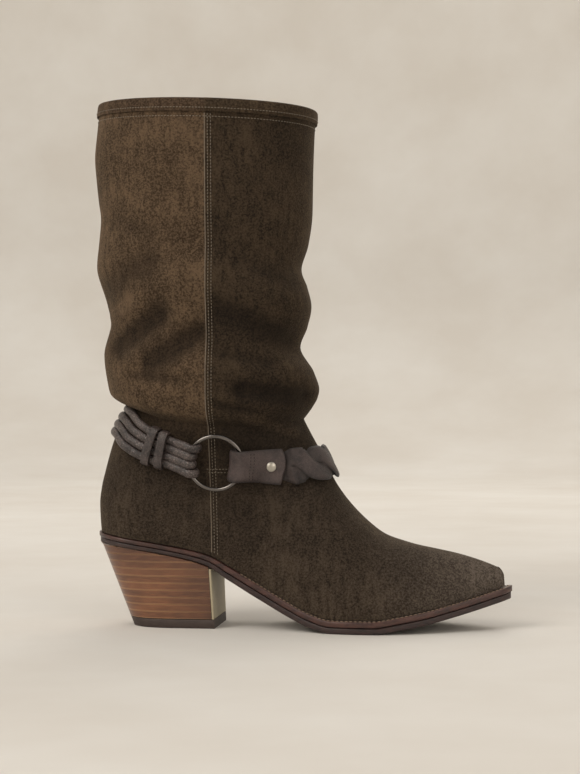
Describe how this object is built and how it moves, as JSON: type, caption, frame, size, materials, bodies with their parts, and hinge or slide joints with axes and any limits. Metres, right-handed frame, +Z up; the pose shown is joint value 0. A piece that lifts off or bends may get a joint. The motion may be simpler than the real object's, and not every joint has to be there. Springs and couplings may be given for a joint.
{
  "type": "slouch boot",
  "caption": "Right mid-calf suede slouch boot: pointed toe, folded shaft open at the top, stacked block heel, stitched welt and a leather ankle harness with a ring, cords and a braid.",
  "frame": {"origin": "on the floor, under the middle of the heel's base", "axes": "+X to the toe, +Y to the inner (medial) side, +Z up the shaft"},
  "size_m": [0.2786, 0.1072, 0.348],
  "materials": {
    "suede": "napped suede, dull",
    "suede_binding": "napped suede, dull",
    "insole_leather": "smooth, matt",
    "welt_leather": "stained, satin",
    "sole_leather": "stained edge, satin",
    "stacked_leather": "waxed and burnished",
    "heel_rubber": "matt",
    "breast_leather": "matt",
    "strap_leather": "fine grain, satin",
    "gunmetal": "dark plated, polished",
    "nickel": "plated, satin"
  },
  "bodies": {
    "root": {"braid": "strap_leather", "collar_binding": "suede_binding", "cord_1": "strap_leather", "cord_2": "strap_leather", "cord_3": "strap_leather", "cord_4": "strap_leather", "heel_breast": "breast_leather", "heel_lift_01": "stacked_leather", "heel_lift_02": "stacked_leather", "heel_lift_03": "stacked_leather", "heel_lift_04": "stacked_leather", "heel_lift_05": "stacked_leather", "heel_lift_06": "stacked_leather", "heel_lift_07": "stacked_leather", "heel_lift_08": "stacked_leather", "heel_lift_09": "stacked_leather", "heel_lift_10": "stacked_leather", "heel_lift_11": "stacked_leather", "inner_tab": "strap_leather", "insole": "insole_leather", "keeper_1": "strap_leather", "keeper_2": "strap_leather", "outsole": "sole_leather", "ring": "gunmetal", "ring_tab": "strap_leather", "rivet": "nickel", "top_piece": "heel_rubber", "upper": "suede", "welt": "welt_leather"}
  },
  "joints": []
}
